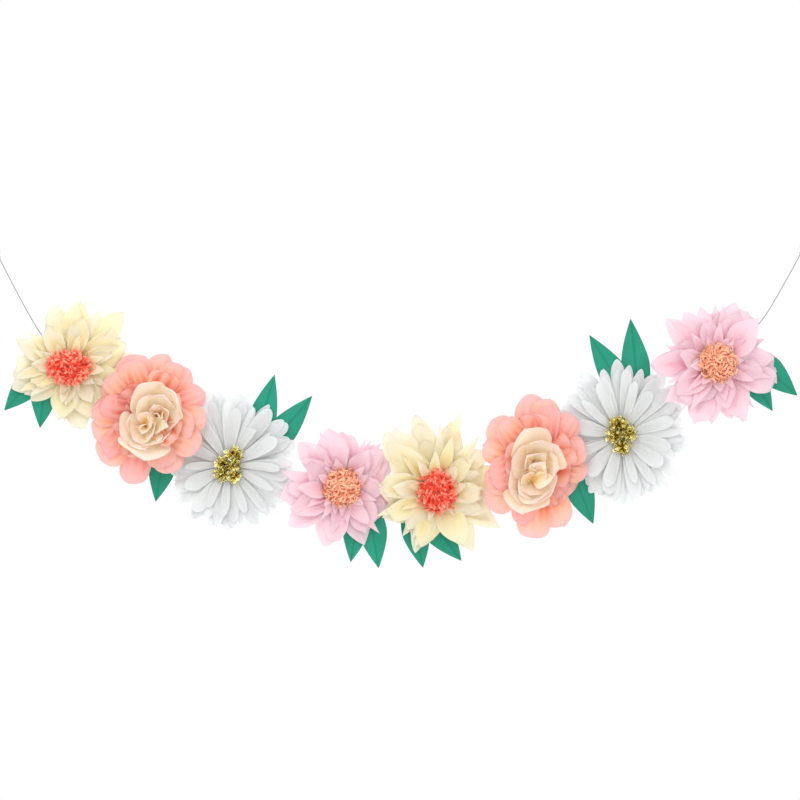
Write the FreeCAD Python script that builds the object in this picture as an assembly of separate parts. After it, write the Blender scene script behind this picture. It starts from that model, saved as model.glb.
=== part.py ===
import FreeCAD, Part
import math
import os

# A paper flower garland: eight tissue-paper flowers and fourteen card leaves on one string.
# Millimetres. X runs along the garland, +Z is up and the flowers face -Y.
# The origin is the centre of the left hanging loop. "Height" below means distance forward, along -Y,
# from the string's own plane, and an angle in the XZ plane turns from +X towards +Z.

V = FreeCAD.Vector
FORWARD = V(0, -1, 0)

# String and its fastening
STRING_D = 2.0            # twisted cotton string
STRING_SIDES = 6          # sides of its section here
CLEAR = 0.3               # running gap round the string and under a loose sheet
LOOP_HALF_WIDTH = 8.5     # hanging loop, to the string's centreline
LOOP_RISE = 10.5          # from the loop's centre to its top, and to the knot below it
LOOP_STATIONS = 20        # sections along the bent string of a loop
BEND_SHARE = 0.45         # of the shorter run beside a bend, taken by the bend's arc
KNOT_D = 6.0
KNOT_LENGTH = 6.5
TAB_CARD = 0.4            # paper tab that holds the string to a disc
TAB_SPAN = 22.0           # across the string
TAB_LENGTH = 12.0         # along the string

# Backing discs and leaves
DISC_R = 62.0
DISC_SIDES = 36           # small straight cuts that make the disc round
DISC_CARD = 0.8
LEAF_CARD = 0.5
LEAF_WIDTH = 54.0
LEAF_CREASE = 3.0         # how far the leaf's fold stands in front of its edges
LONG_LEAF = 175.0
SHORT_LEAF = 140.0
LEAF_BEND = 5.0           # degrees that the lower leaf of a pair leans back past the disc

# Petal sheets
SHEET = 0.8               # the plies of tissue that make one sheet
WAIST_R = 14.0            # gathered middle of each sheet
WAIST = 3.5               # its thickness, so the pitch of the stacked sheets
ROOT = 1.2                # how far a petal's root is joined into the waist
PETAL_CUP = 3.0           # how far a petal's edges stand in front of its middle
ROOT_CUP = 0.05           # share of it at the petal's root

# Fringed middles
FRINGE_PLY = 1.2
CORE_R = 11.0
CORE_H = 9.0
CORE_SIDES = 10
STRIP_SEAT = 1.0          # how far a strip's foot is joined into the core
RING_STEP = 3.2           # from one ring of strips to the next

# Outlines: (share of the length, share of the width, share of the fold or cup)
POINTED = [(0.55, 1.0, 1.0), (0.84, 0.6, 0.8), (1.0, 0.0, 0.0)]
KITE = [(0.58, 1.0, 1.0), (1.0, 0.0, 0.0)]
ROUNDED = [(0.62, 1.0, 0.9), (0.9, 0.8, 1.1), (1.0, 0.4, 1.2)]
CUPPED = [(0.7, 1.0, 1.0), (1.0, 0.55, 1.1)]
STRAP = [(0.85, 1.0, 0.0), (1.0, 0.45, 0.0)]
LEAF = [
    (0.0, 0.24, 0.1), (0.25, 0.8, 0.2), (0.56, 1.0, 0.3),
    (0.72, 0.8, 1.0), (0.88, 0.42, 0.8), (1.0, 0.0, 0.0),
]
FRINGE = [(0.0, 0.35, 0.0), (1.0, 1.0, 0.0)]
PETALLET = [(0.0, 0.4, 0.3), (1.0, 1.0, 1.0)]

# Each sheet: (name, petals, length from the flower's axis, width, root width, tilt in degrees, outline)
# Each ring of a middle: (strips, length, width, tilt in degrees)
DAHLIA = dict(
    sheets=[
        ("outer_petals", 8, 120.0, 51.0, 9.0, 5.0, POINTED),
        ("second_petals", 8, 114.0, 48.0, 9.0, 12.0, POINTED),
        ("third_petals", 8, 90.0, 36.0, 8.0, 24.0, KITE),
        ("inner_petals", 8, 66.0, 24.0, 8.0, 40.0, KITE),
    ],
    middle="fringed_centre",
    strip=FRINGE,
    rings=[(10, 40.0, 9.0, 50.0), (8, 36.0, 8.0, 66.0), (5, 32.0, 7.0, 82.0)],
)
DAISY = dict(
    sheets=[
        ("outer_petals", 13, 134.0, 23.0, 6.0, 6.0, STRAP),
        ("middle_petals", 13, 124.0, 22.0, 6.0, 11.0, STRAP),
        ("inner_petals", 12, 106.0, 20.0, 6.0, 17.0, STRAP),
    ],
    middle="foil_centre",
    strip=FRINGE,
    rings=[(9, 35.0, 12.0, 32.0), (7, 27.0, 10.0, 55.0), (5, 20.0, 8.0, 78.0)],
)
PEONY = dict(
    sheets=[
        ("outer_petals", 7, 112.0, 74.0, 12.0, 12.0, ROUNDED),
        ("second_petals", 7, 104.0, 64.0, 11.0, 23.0, ROUNDED),
        ("third_petals", 7, 88.0, 48.0, 10.0, 36.0, CUPPED),
        ("inner_petals", 7, 72.0, 33.0, 9.0, 52.0, CUPPED),
    ],
    middle="cupped_bud",
    strip=PETALLET,
    rings=[(5, 58.0, 28.0, 64.0), (4, 50.0, 22.0, 74.0), (3, 42.0, 15.0, 84.0)],
)

# Each flower: name, kind, centre (x, z), turn in degrees.
FLOWERS = [
    ("cream_dahlia_left", DAHLIA, (143.0, -222.0), 4.0),
    ("peony_left", PEONY, (291.0, -310.0), 20.0),
    ("daisy_left", DAISY, (442.0, -406.0), 7.0),
    ("pink_dahlia_left", DAHLIA, (657.0, -448.0), 15.0),
    ("cream_dahlia_right", DAHLIA, (836.0, -455.0), 22.0),
    ("peony_right", PEONY, (1028.0, -401.0), 48.0),
    ("daisy_right", DAISY, (1185.0, -350.0), 0.0),
    ("pink_dahlia_right", DAHLIA, (1364.0, -214.0), 11.0),
]

# Where two flowers meet, the petals of one lie on the other's: (flower underneath, flower on top).
LAPS = [(0, 1), (2, 1), (2, 3), (3, 4), (4, 5), (6, 5), (6, 7)]
LIFT = 20.0                              # degrees that the upper flower's outer petals rise there
PRESS = 1.0                              # tilt that is left to the lower flower's outer petals there

# Each leaf: (name, flower, tip from the flower's centre (x, z), direction, length, above its partner)
LEAVES = [
    ("leaf_1", 0, (-126.0, -81.0), 228.0, SHORT_LEAF, True),
    ("leaf_2", 0, (-59.0, -114.0), 263.0, SHORT_LEAF, False),
    ("leaf_3", 1, (12.0, -166.0), 259.0, SHORT_LEAF, False),
    ("leaf_4", 2, (87.0, 171.0), 74.0, LONG_LEAF, True),
    ("leaf_5", 2, (158.0, 131.0), 50.0, LONG_LEAF, False),
    ("leaf_6", 3, (16.0, -142.0), 261.0, SHORT_LEAF, True),
    ("leaf_7", 3, (69.0, -154.0), 279.0, SHORT_LEAF, False),
    ("leaf_8", 4, (-26.0, -146.0), 281.0, SHORT_LEAF, True),
    ("leaf_9", 4, (47.0, -133.0), 308.0, SHORT_LEAF, False),
    ("leaf_10", 5, (105.0, -117.0), 292.0, SHORT_LEAF, False),
    ("leaf_11", 6, (-60.0, 190.0), 122.0, LONG_LEAF, True),
    ("leaf_12", 6, (19.0, 221.0), 96.0, LONG_LEAF, False),
    ("leaf_13", 7, (155.0, -61.0), 318.0, SHORT_LEAF, True),
    ("leaf_14", 7, (109.0, -90.0), 302.0, SHORT_LEAF, False),
]

# The string from knot to knot, in its own plane. It passes every flower at the flower's own x.
LEFT_LOOP = (0.0, 0.0)
RIGHT_LOOP = (1533.0, 7.5)
ROUTE = [
    (31.0, -61.0), (56.0, -108.0), (83.0, -155.0), (112.0, -192.0), (143.0, -222.0),
    (192.0, -254.0), (241.0, -285.0), (291.0, -314.0),
    (341.0, -346.0), (391.0, -377.0), (442.0, -406.0),
    (495.0, -422.0), (549.0, -435.0), (603.0, -443.5), (657.0, -448.0),
    (717.0, -452.0), (776.0, -454.5), (836.0, -455.0),
    (884.0, -449.0), (932.0, -439.0), (980.0, -426.0), (1028.0, -409.0),
    (1080.0, -393.0), (1132.0, -375.0), (1185.0, -354.0),
    (1231.0, -327.0), (1276.0, -294.0), (1320.0, -257.0), (1364.0, -217.0),
    (1400.0, -184.0), (1436.0, -152.0), (1463.0, -118.0), (1487.0, -76.0), (1510.0, -35.0),
]

# Heights that follow from the sizes above
DISC_BACK = STRING_D / 2 + CLEAR
DISC_FRONT = DISC_BACK + DISC_CARD
LOWER_LEAF = DISC_FRONT + CLEAR
LEAF_RISE = LEAF_CREASE * max(fold for share, wide, fold in LEAF if share < 0.6)
UPPER_LEAF = LOWER_LEAF + LEAF_CARD + LEAF_RISE + CLEAR
FIRST_WAIST = UPPER_LEAF + LEAF_CARD + SHEET + CLEAR - DISC_FRONT    # its petals pass over the leaves


def heading(degrees):
    """Unit vector in the garland's plane."""
    a = math.radians(degrees)
    return V(math.cos(a), 0, math.sin(a))


def place(centre, height):
    return V(centre[0], -height, centre[1])


def save(name, shape):
    shape.exportStep("parts/" + name + ".step")


# ---------------------------------------------------------------- folded sheets

def chevron(point, across, normal, half_width, fold, thickness):
    """Corners of a sheet's section, whose edges stand `fold` in front of its middle.

    The plies of a folded sheet end one after another, so it thins out from its fold to its edges.
    A section of no width is the sheet's pointed tip.
    """
    if half_width == 0:
        return [point]
    left = point - across * half_width + normal * fold
    right = point + across * half_width + normal * fold
    ply = normal * thickness
    if fold == 0:
        return [left, right, right + ply, left + ply]
    return [left, point, right, point + ply]


def polygon(corners):
    return Part.Face(Part.makePolygon(corners + corners[:1]))


def faceted_loft(sections):
    """Solid through sections of equally many corners. The last may be a point.

    Each side of a stretch is two flat facets, which meet along its shorter diagonal.
    """
    faces = [polygon(sections[0])]
    for near, far in zip(sections, sections[1:]):
        for i in range(len(near)):
            j = (i + 1) % len(near)
            if len(far) == 1:
                faces.append(polygon([near[i], near[j], far[0]]))
            elif near[i].distanceToPoint(far[j]) < near[j].distanceToPoint(far[i]):
                faces.append(polygon([near[i], near[j], far[j]]))
                faces.append(polygon([near[i], far[j], far[i]]))
            else:
                faces.append(polygon([near[i], near[j], far[i]]))
                faces.append(polygon([near[j], far[j], far[i]]))
    if len(sections[-1]) > 1:
        faces.append(polygon(sections[-1]))
    shell = Part.makeShell(faces)
    shell.sewShape()
    solid = Part.Solid(shell)
    return solid if solid.Volume > 0 else Part.Solid(shell.reversed())


def rising(angle, tilt):
    """Unit vectors of what leaves a flower's axis at this angle and tilt: along it and square to it."""
    out = heading(angle)
    lean = math.radians(tilt)
    slope = out * math.cos(lean) + FORWARD * math.sin(lean)
    normal = FORWARD * math.cos(lean) - out * math.sin(lean)
    return slope, heading(angle + 90), normal


def petal(centre, angle, height, tilt, length, width, root, outline):
    """One petal: joined by its root to the waist's edge, and rising from there at its tilt."""
    slope, across, normal = rising(angle, tilt)
    cup = PETAL_CUP if outline[0][2] else 0
    start = WAIST_R - ROOT
    foot = place(centre, height) + heading(angle) * start
    sections = [chevron(foot, across, normal, root / 2, cup * ROOT_CUP, SHEET)]
    for along, wide, fold in outline:
        point = foot + slope * (length * along - start)
        sections.append(chevron(point, across, normal, width * wide / 2, cup * fold, SHEET))
    return faceted_loft(sections)


def polygon_prism(centre, radius, sides, turn, height, thickness):
    """A flat-sided disc, its radius to the middle of a side, with a corner at the angle it starts at."""
    corner = radius / math.cos(math.pi / sides)
    points = [place(centre, height) + heading(turn + 360 * i / sides) * corner for i in range(sides)]
    return polygon(points).extrude(FORWARD * thickness)


# ---------------------------------------------------------------- how the flowers lap

def leaning(flower, angle):
    """Degrees that the outer petals at this angle rise or sink, to lie over or under a neighbour."""
    name, kind, centre, turn = FLOWERS[flower]
    outer_tilt = kind["sheets"][0][5]
    lean = 0.0
    for under, over in LAPS:
        if flower not in (under, over):
            continue
        other = FLOWERS[over if flower == under else under][2]
        towards = math.degrees(math.atan2(other[1] - centre[1], other[0] - centre[0]))
        facing = max(0.0, math.cos(math.radians(angle - towards))) ** 2
        most = PRESS - outer_tilt if flower == under else LIFT
        lean += most * facing
    return lean


def tilt_at(flower, tilt, angle):
    """The whole flower leans there, its inner sheets in proportion to what is left to upright."""
    outer_tilt = FLOWERS[flower][1]["sheets"][0][5]
    return tilt + leaning(flower, angle) * (90 - tilt) / (90 - outer_tilt)


# ---------------------------------------------------------------- parts of a flower

def sheet_base(number):
    """Height of the back of a sheet's waist: the first lies on the disc, the others on each other."""
    return DISC_FRONT + (FIRST_WAIST + (number - 1) * WAIST if number else 0.0)


def petal_sheet(flower, number):
    """One sheet of petals round its gathered waist, with a petal at each of the waist's corners."""
    name, kind, centre, turn = FLOWERS[flower]
    label, count, length, width, root, tilt, outline = kind["sheets"][number]
    base = sheet_base(number)
    thickness = sheet_base(number + 1) - base
    start = turn + (number % 2) * 180.0 / count
    petals = []
    for i in range(count):
        angle = start + 360.0 * i / count
        lean = tilt_at(flower, tilt, angle)
        # Its front passes the waist's side a clearance below the next sheet.
        rise = SHEET / math.cos(math.radians(lean)) + ROOT * math.tan(math.radians(lean))
        root_height = base + max(CLEAR, thickness - CLEAR - rise)
        petals.append(petal(centre, angle, root_height, lean, length, width, root, outline))
    waist = polygon_prism(centre, WAIST_R, count, start, base, thickness)
    return waist.fuse(petals).removeSplitter()


def middle(flower):
    """Fringed, foil or cupped middle: rings of strips standing on a gathered core."""
    name, kind, centre, turn = FLOWERS[flower]
    base = sheet_base(len(kind["sheets"]))
    shape = polygon_prism(centre, CORE_R, CORE_SIDES, turn, base, CORE_H)
    axis_point = place(centre, base + CORE_H - FRINGE_PLY - STRIP_SEAT)
    strips = []
    for ring, (count, length, width, tilt) in enumerate(kind["rings"]):
        for i in range(count):
            angle = turn + 360.0 * (i + 0.5 * (ring % 2)) / count
            foot = axis_point + heading(angle) * (CORE_R - STRIP_SEAT - RING_STEP * ring)
            strips.append(strip(foot, angle, tilt, length, width, kind["strip"]))
    return shape.fuse(strips).removeSplitter()


def strip(foot, angle, tilt, length, width, outline):
    """A strip of the middle, flat or cupped as its outline says."""
    slope, across, normal = rising(angle, tilt)
    return faceted_loft([
        chevron(foot + slope * (length * along), across, normal, width * wide / 2,
                PETAL_CUP * fold, FRINGE_PLY)
        for along, wide, fold in outline
    ])


def leaf(flower, tip, direction, length, above):
    """A card leaf folded along its middle, glued by its base to the front of the disc."""
    along = heading(direction)
    across = heading(direction + 90)
    centre = FLOWERS[flower][2]
    height = UPPER_LEAF if above else LOWER_LEAF
    base = place((centre[0] + tip[0], centre[1] + tip[1]), height) - along * length
    sections = []
    on_the_disc = True
    for share, wide, fold in LEAF:
        half = LEAF_WIDTH * wide / 2
        middle_line = base + along * (length * share)
        if on_the_disc:
            level_to = share
            on_the_disc = gap_from_axis(centre, middle_line, across, LEAF_WIDTH / 2) < DISC_R
        back = 0.0 if above else (share - level_to) * length * math.tan(math.radians(LEAF_BEND))
        sections.append(roof(middle_line - FORWARD * back, across, half, LEAF_CREASE * fold, LEAF_CARD))
    return faceted_loft(sections)


def gap_from_axis(centre, middle_line, across, half_width):
    """How near a leaf's section comes to its flower's axis."""
    away = middle_line - place(centre, -middle_line.y)
    sideways = max(-half_width, min(half_width, away.dot(across)))
    return (away - across * sideways).Length


def roof(point, across, half_width, ridge, thickness):
    """Corners of a folded leaf's section, whose fold stands `ridge` in front of its edges."""
    if half_width == 0:
        return [point]
    left = point - across * half_width
    right = point + across * half_width
    top = point + FORWARD * ridge
    ply = FORWARD * thickness
    return [left, top, right, right + ply, top + ply, left + ply]


def backing_disc(centre):
    return polygon_prism(centre, DISC_R, DISC_SIDES, 0, DISC_BACK, DISC_CARD)


# ---------------------------------------------------------------- string

def bent_path(points):
    """Straight runs joined by tangent arcs, each as large as its two runs allow."""
    arcs = []
    for before, corner, after in zip(points, points[1:], points[2:]):
        back = (before - corner).normalize()
        on = (after - corner).normalize()
        half_turn = (math.pi - back.getAngle(on)) / 2
        cut = BEND_SHARE * min(before.distanceToPoint(corner), after.distanceToPoint(corner))
        radius = cut / math.tan(half_turn)
        inward = (back + on).normalize()
        middle_point = corner + inward * (radius / math.cos(half_turn) - radius)
        arcs.append((corner + back * cut, middle_point, corner + on * cut, radius))
    edges = []
    here = points[0]
    for first, middle_point, last, radius in arcs:
        edges.append(Part.LineSegment(here, first).toShape())
        edges.append(Part.Arc(first, middle_point, last).toShape())
        here = last
    edges.append(Part.LineSegment(here, points[-1]).toShape())
    return Part.Wire(edges), arcs


def corners_round(centre, along, radius):
    """Corners of the string's section, in the plane square to `along`."""
    across = V(along.z, 0, -along.x)
    turns = [2 * math.pi * i / STRING_SIDES for i in range(STRING_SIDES)]
    return [centre + across * (radius * math.cos(t)) + V(0, radius * math.sin(t), 0) for t in turns]


def string_tube(points):
    """The string along its whole route, with its length, radii and volume printed."""
    wire, arcs = bent_path(points)
    along = (points[1] - points[0]).normalize()
    section = polygon(corners_round(points[0], along, STRING_D / 2))
    solid = wire.makePipeShell([section.OuterWire], True, False)
    radii = [round(arc[3], 1) for arc in arcs]
    print("length", round(wire.Length, 1), "smallest radius", min(radii), "radii", radii)
    print("volume", round(solid.Volume, 1), "section times length", round(section.Area * wire.Length, 1))
    return solid, arcs


def down_the_tail(loop, neighbour):
    """Unit vector from a loop's centre towards the first point of the route."""
    return (place(neighbour, 0) - place(loop, 0)).normalize()


def knot_ends(loop, neighbour):
    """Where the knot meets its loop and where it meets the string."""
    down = down_the_tail(loop, neighbour)
    top = place(loop, 0) + down * LOOP_RISE
    return top, top + down * KNOT_LENGTH


def hanging_loop(loop, neighbour):
    """The string's end turned back into an open loop and knotted below it."""
    down = down_the_tail(loop, neighbour)
    across = V(down.z, 0, -down.x)
    top, bottom = knot_ends(loop, neighbour)
    centre = place(loop, 0)
    strand = STRING_D / 2 + CLEAR / 2
    shares = [(-strand, -LOOP_RISE), (-0.85 * LOOP_HALF_WIDTH, -0.42 * LOOP_RISE),
              (-1.05 * LOOP_HALF_WIDTH, 0.5 * LOOP_RISE), (0, 1.05 * LOOP_RISE)]
    mirrored = [(-side, rise) for side, rise in reversed(shares[:-1])]
    wire, arcs = bent_path([centre + across * side - down * rise for side, rise in shares + mirrored])
    points = wire.discretize(LOOP_STATIONS)
    befores = points[:1] + points[:-1]
    afters = points[1:] + points[-1:]
    ring = faceted_loft([
        corners_round(point, (after - before).normalize(), STRING_D / 2)
        for before, point, after in zip(befores, points, afters)
    ])
    shares = [(0.0, 0.8), (0.3, 1.0), (0.7, 1.0), (1.0, 0.7)]
    knot = faceted_loft([
        corners_round(top + down * (KNOT_LENGTH * share), down, KNOT_D / 2 * wide) for share, wide in shares
    ])
    return knot.fuse(ring).removeSplitter()


def tab(middle_point, along):
    """Paper strip bridging the string, its two ends glued flat to the back of the disc."""
    across = V(along.z, 0, -along.x)
    channel = STRING_D / 2 + CLEAR
    lip = channel + 2 * CLEAR
    edge = TAB_SPAN / 2
    inner = [(-lip, DISC_BACK), (-channel, -channel), (channel, -channel), (lip, DISC_BACK)]
    outer = [(edge, DISC_BACK), (edge, DISC_BACK - TAB_CARD), (lip + TAB_CARD, DISC_BACK - TAB_CARD),
             (channel + TAB_CARD, -channel - TAB_CARD)]
    mirrored = [(-side, height) for side, height in reversed(outer)]
    start = middle_point - along * (TAB_LENGTH / 2)
    points = [start + across * side + V(0, -height, 0) for side, height in inner + outer + mirrored]
    return polygon(points).extrude(along * TAB_LENGTH)


# ---------------------------------------------------------------- build

os.makedirs("parts", exist_ok=True)

for number, (flower_name, kind, centre, turn) in enumerate(FLOWERS):
    for sheet_number, sheet in enumerate(kind["sheets"]):
        save(flower_name + "_" + sheet[0], petal_sheet(number, sheet_number))
    save(flower_name + "_" + kind["middle"], middle(number))

for leaf_name, flower, tip, direction, length, above in LEAVES:
    save(leaf_name, leaf(flower, tip, direction, length, above))

left_end = knot_ends(LEFT_LOOP, ROUTE[0])[1]
right_end = knot_ends(RIGHT_LOOP, ROUTE[-1])[1]
route = [left_end] + [place(point, 0) for point in ROUTE] + [right_end]
string, bends = string_tube(route)
save("string", string)
save("left_hanging_loop", hanging_loop(LEFT_LOOP, ROUTE[0]))
save("right_hanging_loop", hanging_loop(RIGHT_LOOP, ROUTE[-1]))

tabs = []
for flower_name, kind, centre, turn in FLOWERS:
    at = [point[0] for point in ROUTE].index(centre[0])
    first, middle_point, last, radius = bends[at]
    tabs.append(tab(middle_point, (last - first).normalize()))
save("string_tabs", Part.makeCompound(tabs))
save("backing_discs", Part.makeCompound([backing_disc(flower[2]) for flower in FLOWERS]))
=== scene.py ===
import math

import bpy
import numpy as np
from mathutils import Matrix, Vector


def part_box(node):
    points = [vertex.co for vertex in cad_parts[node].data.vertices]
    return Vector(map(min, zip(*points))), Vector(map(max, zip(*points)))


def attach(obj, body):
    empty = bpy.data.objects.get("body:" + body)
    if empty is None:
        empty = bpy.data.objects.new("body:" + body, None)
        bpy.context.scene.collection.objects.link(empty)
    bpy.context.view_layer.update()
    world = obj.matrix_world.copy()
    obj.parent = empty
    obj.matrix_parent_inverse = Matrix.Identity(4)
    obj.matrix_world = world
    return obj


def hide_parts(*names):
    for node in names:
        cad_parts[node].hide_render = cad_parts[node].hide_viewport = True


# Looks of a paper flower garland: tissue petals, fringed and foil middles, folded card leaves and
# a twisted string. Metres. X runs along the garland, +Z is up and the flowers face -Y, so a height
# below is a distance forward, along -Y. An angle in the XZ plane turns from +X towards +Z.

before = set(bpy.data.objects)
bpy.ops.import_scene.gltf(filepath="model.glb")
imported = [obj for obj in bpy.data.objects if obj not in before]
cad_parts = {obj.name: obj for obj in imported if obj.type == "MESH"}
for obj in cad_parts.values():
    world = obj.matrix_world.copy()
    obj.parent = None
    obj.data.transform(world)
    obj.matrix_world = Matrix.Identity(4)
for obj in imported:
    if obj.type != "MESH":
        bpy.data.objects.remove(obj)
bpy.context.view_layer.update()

MM = 0.001

# ---------------- camera

VIEW_CENTRE = (0.7665, -0.2831)  # x and z that the camera looks at
VIEW_DISTANCE = 6.0
VIEW_WIDTH = 1.516  # across the picture, at the string's plane
SENSOR = 36.0

camera = bpy.data.objects.new("camera", bpy.data.cameras.new("camera"))
camera.data.sensor_width = SENSOR
camera.data.lens = SENSOR * VIEW_DISTANCE / VIEW_WIDTH
camera.location = (VIEW_CENTRE[0], -VIEW_DISTANCE, VIEW_CENTRE[1])
camera.rotation_euler = (math.pi / 2, 0, 0)
bpy.context.scene.collection.objects.link(camera)
bpy.context.scene.camera = camera
bpy.context.scene.view_settings.view_transform = "Standard"


# ---------------- meshes

class Sheets:
    """Gathers curved sheets, each a grid of points, into one mesh.

    Where the material needs them, each point also gets a tone and a place. The tone is its share of
    the way out, its depth in a fold (less than nothing towards an edge) and the sheet's own shade.
    The place is where it is on the flat sheet, across and along, and the sheet's own number.
    """

    def __init__(self):
        self.points = []
        self.tones = []
        self.places = []
        self.faces = []
        self.count = 0

    def add(self, points, tone=0.0, place=0.0, closed=False):
        """One more sheet. A closed one joins its last column to its first."""
        rows, columns = points.shape[:2]
        index = self.count + np.arange(rows * columns).reshape(rows, columns)
        beside = np.roll(index, -1, axis=1) if closed else index[:, 1:]
        here = index if closed else index[:, :-1]
        quads = np.stack([here[:-1], beside[:-1], beside[1:], here[1:]], axis=-1)
        self.faces.append(quads.reshape(-1, 4))
        self.points.append(points.reshape(-1, 3))
        self.tones.append(np.broadcast_to(tone, points.shape).reshape(-1, 3))
        self.places.append(np.broadcast_to(place, points.shape).reshape(-1, 3))
        self.count += rows * columns

    def piece(self, name, material, *nodes):
        """The finished piece, standing for these CAD nodes."""
        points = np.concatenate(self.points).astype(np.float32)
        faces = np.concatenate(self.faces).astype(np.int32)
        tones = np.concatenate(self.tones).astype(np.float32)
        places = np.concatenate(self.places).astype(np.float32)
        mesh = bpy.data.meshes.new(name)
        mesh.vertices.add(len(points))
        mesh.vertices.foreach_set("co", points.ravel())
        mesh.loops.add(faces.size)
        mesh.loops.foreach_set("vertex_index", faces.ravel())
        mesh.polygons.add(len(faces))
        mesh.polygons.foreach_set("loop_start", np.arange(0, faces.size, 4, dtype=np.int32))
        mesh.polygons.foreach_set("use_smooth", np.ones(len(faces), bool))
        mesh.update(calc_edges=True)
        tone = mesh.attributes.new("tone", "FLOAT_VECTOR", "POINT")
        tone.data.foreach_set("vector", tones.ravel())
        place = mesh.attributes.new("place", "FLOAT_VECTOR", "POINT")
        place.data.foreach_set("vector", places.ravel())
        mesh.materials.append(material)
        piece = bpy.data.objects.new(name, mesh)
        bpy.context.scene.collection.objects.link(piece)
        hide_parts(*nodes)
        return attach(piece, "root")


def stacked(*parts):
    """Numbers and grids of one shape, side by side as the last axis."""
    return np.stack(np.broadcast_arrays(*parts), axis=-1)


def towards_tip(rows, crowding):
    """Shares of a length from 0 to 1, as a column, closer together towards 1."""
    return 1 - (1 - np.linspace(0, 1, rows)[:, None]) ** crowding


def thickened(piece, thickness):
    """Gives a sheet its thickness, half on each side."""
    solid = piece.modifiers.new("card", "SOLIDIFY")
    solid.thickness = thickness
    solid.offset = 0.0


# ---------------- materials

def srgb(red, green, blue):
    """A display colour, 0 to 255, as a shader needs it."""
    def linear(value):
        value /= 255
        return value / 12.92 if value <= 0.04045 else ((value + 0.055) / 1.055) ** 2.4
    return (linear(red), linear(green), linear(blue), 1.0)


def added(tree, kind, inputs=None, **settings):
    """A new node with these settings and inputs, which are values or other nodes' sockets."""
    node = tree.nodes.new(kind)
    for key, value in settings.items():
        setattr(node, key, value)
    for key, value in (inputs or {}).items():
        if isinstance(value, bpy.types.NodeSocket):
            tree.links.new(value, node.inputs[key])
        else:
            node.inputs[key].default_value = value
    return node


class Finish:
    """A node material under construction."""

    def __init__(self, slot):
        self.material = bpy.data.materials.new(slot + "_finish")
        self.material["slot"] = slot
        self.material.use_nodes = True
        self.tree = self.material.node_tree
        self.tree.nodes.clear()
        self.output = self.add("ShaderNodeOutputMaterial")

    def add(self, kind, inputs=None, **settings):
        return added(self.tree, kind, inputs, **settings)

    def object_place(self):
        return self.add("ShaderNodeTexCoord").outputs["Object"]

    def attribute(self, name):
        return self.add("ShaderNodeAttribute", attribute_name=name).outputs["Vector"]

    def parts_of(self, name):
        """The attribute's X, Y and Z."""
        return self.add("ShaderNodeSeparateXYZ", {"Vector": self.attribute(name)}).outputs

    def math(self, operation, first, second=0.0, third=0.0):
        node = self.add("ShaderNodeMath", {0: first, 1: second, 2: third}, operation=operation)
        return node.outputs[0]

    def stretched(self, vector, scale):
        """The vector with each of its parts scaled."""
        node = self.add("ShaderNodeMapping", {"Vector": vector, "Scale": scale})
        return node.outputs["Vector"]

    def noise(self, vector, scale, detail=3.0, roughness=0.5):
        node = self.add("ShaderNodeTexNoise",
                        {"Vector": vector, "Scale": scale, "Detail": detail, "Roughness": roughness})
        return node.outputs["Fac"]

    def ramp(self, factor, *stops):
        """A colour for each (place, colour) along the factor."""
        node = self.add("ShaderNodeValToRGB", {"Fac": factor})
        elements = node.color_ramp.elements
        while len(elements) < len(stops):
            elements.new(0.5)
        for element, (position, colour) in zip(elements, stops):
            element.position = position
            element.color = colour
        return node.outputs["Color"]

    def mix(self, factor, first, second, blend="MIX"):
        node = self.add("ShaderNodeMix", {"Factor": factor, 6: first, 7: second},
                        data_type="RGBA", blend_type=blend)
        return node.outputs[2]

    def range(self, value, low, high, to_low=0.0, to_high=1.0):
        node = self.add("ShaderNodeMapRange", {"Value": value, "From Min": low, "From Max": high,
                                               "To Min": to_low, "To Max": to_high})
        return node.outputs["Result"]

    def bump(self, height, distance, strength):
        node = self.add("ShaderNodeBump", {"Height": height, "Distance": distance, "Strength": strength})
        return node.outputs["Normal"]

    def surface(self, shader):
        self.tree.links.new(shader, self.output.inputs["Surface"])
        return self.material


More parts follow.
